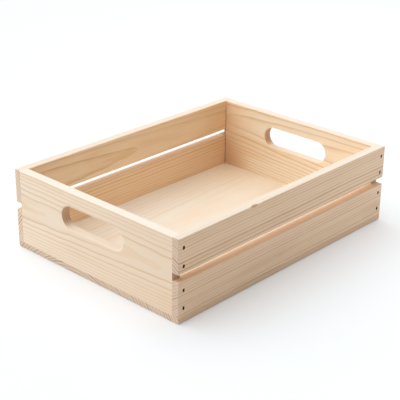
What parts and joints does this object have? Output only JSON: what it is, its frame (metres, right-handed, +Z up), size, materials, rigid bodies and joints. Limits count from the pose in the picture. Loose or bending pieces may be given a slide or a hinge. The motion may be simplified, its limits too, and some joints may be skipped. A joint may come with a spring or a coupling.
{
  "type": "slatted wooden crate",
  "caption": "Open pine crate with a hand slot in each end, slatted long sides with a gap between the slats, and a flat base, held by brads.",
  "frame": {"origin": "middle of the crate's footprint, on the surface that it stands on", "axes": "+X along the slats, from the left end panel to the right one; +Y across the crate, towards the back slats; +Z up, out of the open top"},
  "size_m": [0.38, 0.274, 0.103],
  "materials": {
    "pine_end_panel": "planed and unfinished, flat-sawn, grain across the crate",
    "pine_slat": "planed and unfinished, straight grain along the crate",
    "pine_base": "planed and unfinished, pale, grain along the crate",
    "brad_steel": "dull dark wire"
  },
  "bodies": {
    "root": {"back_lower_slat": "pine_slat", "back_upper_slat": "pine_slat", "base_panel": "pine_base", "front_lower_slat": "pine_slat", "front_upper_slat": "pine_slat", "left_end_panel": "pine_end_panel", "right_end_panel": "pine_end_panel", "back_lower_left_brad_1": "brad_steel", "back_lower_left_brad_2": "brad_steel", "back_lower_right_brad_1": "brad_steel", "back_lower_right_brad_2": "brad_steel", "back_upper_left_brad_1": "brad_steel", "back_upper_left_brad_2": "brad_steel", "back_upper_right_brad_1": "brad_steel", "back_upper_right_brad_2": "brad_steel", "base_back_brad_1": "brad_steel", "base_back_brad_2": "brad_steel", "base_back_brad_3": "brad_steel", "base_back_brad_4": "brad_steel", "base_back_brad_5": "brad_steel", "base_front_brad_1": "brad_steel", "base_front_brad_2": "brad_steel", "base_front_brad_3": "brad_steel", "base_front_brad_4": "brad_steel", "base_front_brad_5": "brad_steel", "base_left_brad_1": "brad_steel", "base_left_brad_2": "brad_steel", "base_left_brad_3": "brad_steel", "base_left_brad_4": "brad_steel", "base_right_brad_1": "brad_steel", "base_right_brad_2": "brad_steel", "base_right_brad_3": "brad_steel", "base_right_brad_4": "brad_steel", "front_lower_left_brad_1": "brad_steel", "front_lower_left_brad_2": "brad_steel", "front_lower_right_brad_1": "brad_steel", "front_lower_right_brad_2": "brad_steel", "front_upper_left_brad_1": "brad_steel", "front_upper_left_brad_2": "brad_steel", "front_upper_right_brad_1": "brad_steel", "front_upper_right_brad_2": "brad_steel"}
  },
  "joints": []
}
